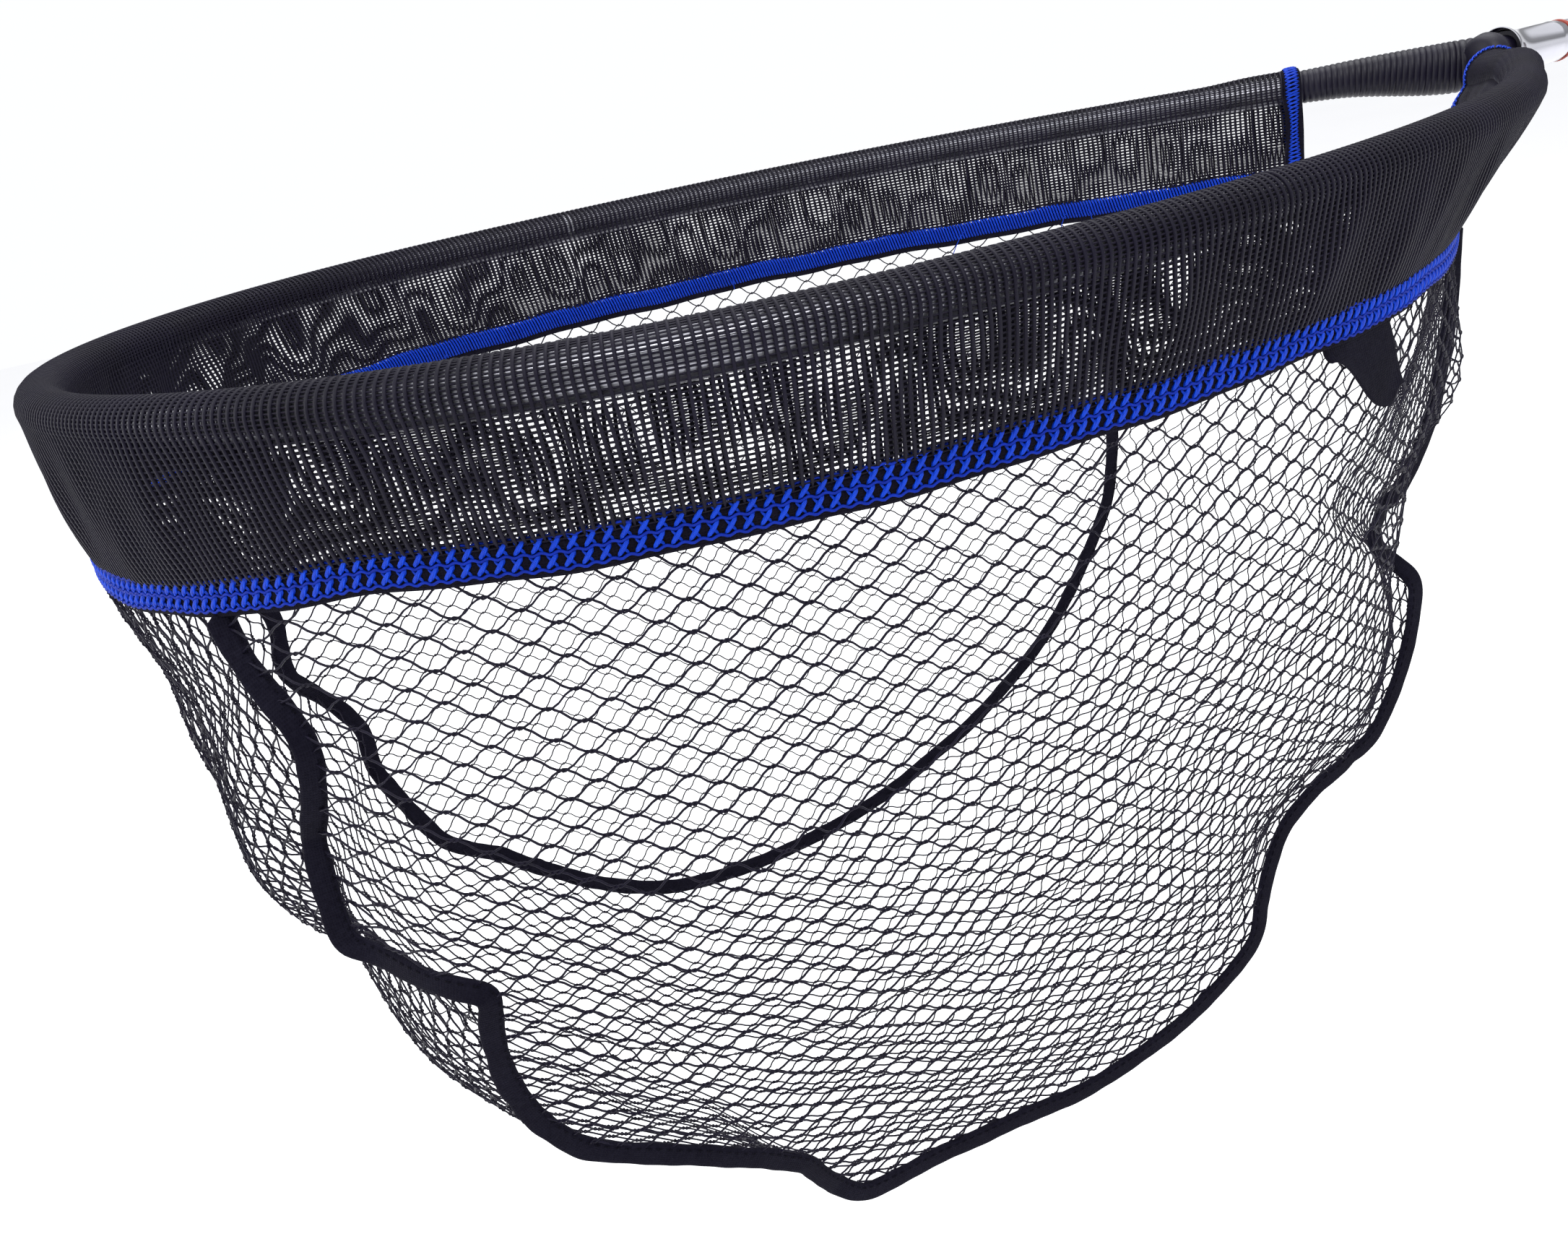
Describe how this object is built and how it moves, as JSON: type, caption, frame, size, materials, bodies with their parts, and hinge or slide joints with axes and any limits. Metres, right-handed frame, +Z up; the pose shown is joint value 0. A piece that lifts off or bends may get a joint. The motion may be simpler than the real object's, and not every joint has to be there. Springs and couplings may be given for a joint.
{
  "type": "landing net",
  "caption": "Fishing landing net: spoon-shaped tube hoop in a mesh sleeve, deep knotless bag, ribbed yoke and a telescopic handle with twist locks.",
  "frame": {"origin": "on the handle's axis, in the middle of the bare stretch of the outer tube between its lock collar and the grip", "axes": "+X along the handle from the net towards the butt, +Z up out of the net's mouth, the hoop lies in the XY plane"},
  "size_m": [1.0864, 0.3823, 0.3415],
  "materials": {
    "aluminium_tube": "drawn and lightly polished",
    "chrome": "bright polished",
    "steel": "zinc plated",
    "brass": "turned",
    "yoke_plastic": "ribbed moulded nylon",
    "black_plastic": "moulded, fluted for grip",
    "white_nylon": "smooth moulded",
    "red_fibre": "pressed fibre",
    "foam": "fine closed-cell foam",
    "sleeve_mesh": "knitted black mesh",
    "bag_net": "knotless black netting",
    "blue_stitching": "blue overlock thread on black tape",
    "black_tape": "woven black tape"
  },
  "bodies": {
    "handle": {"outer_tube": "aluminium_tube", "foam_grip": "foam", "butt_cap": "black_plastic", "outer_collet": "white_nylon"},
    "outer_collar": {"outer_lock_collar": "black_plastic"},
    "mid_section": {"mid_tube": "aluminium_tube", "mid_guide_bush": "white_nylon", "mid_collet": "white_nylon"},
    "mid_collar": {"mid_lock_collar": "black_plastic"},
    "inner_section": {"inner_tube": "aluminium_tube", "inner_guide_bush": "white_nylon", "threaded_insert": "brass"},
    "washer": {"fibre_washer": "red_fibre"},
    "head": {"threaded_stud": "steel", "ferrule": "chrome", "yoke": "yoke_plastic", "hoop_rivet_near": "steel", "hoop_rivet_far": "steel", "hoop_tube": "aluminium_tube", "sleeve": "sleeve_mesh", "sleeve_binding_near": "blue_stitching", "sleeve_binding_far": "blue_stitching", "hem_tape": "blue_stitching", "bag_panel_near": "bag_net", "bag_panel_far": "bag_net", "bag_gusset_tip": "bag_net", "bag_gusset_floor": "bag_net", "bag_gusset_neck": "bag_net", "seam_tape_near": "black_tape", "seam_tape_far": "black_tape", "hem_tag": "black_tape"}
  },
  "joints": [
    {"name": "mid_slide", "type": "slide", "parent": "handle", "child": "mid_section", "axis": [-1, 0, 0], "range_m": [0, 0.235]},
    {"name": "inner_slide", "type": "slide", "parent": "mid_section", "child": "inner_section", "axis": [-1, 0, 0], "range_m": [0, 0.26]},
    {"name": "outer_collar_twist", "type": "hinge", "parent": "handle", "child": "outer_collar", "pos_m": [-0.065, 0, 0], "axis": [1, 0, 0], "range_deg": [0, 90]},
    {"name": "mid_collar_twist", "type": "hinge", "parent": "mid_section", "child": "mid_collar", "pos_m": [-0.108, 0, 0], "axis": [1, 0, 0], "range_deg": [0, 90]},
    {"name": "washer_travel", "type": "slide", "parent": "inner_section", "child": "washer", "axis": [-1, 0, 0], "range_m": [0, 0.0039]},
    {"name": "head_unscrew", "type": "hinge", "parent": "washer", "child": "head", "pos_m": [-0.1796, 0, 0], "axis": [-1, 0, 0], "range_deg": [0, 1080]}
  ],
  "couplings": [
    {"joint": "washer_travel", "follows": "head_unscrew", "m_per_rad": 0.00020213}
  ]
}
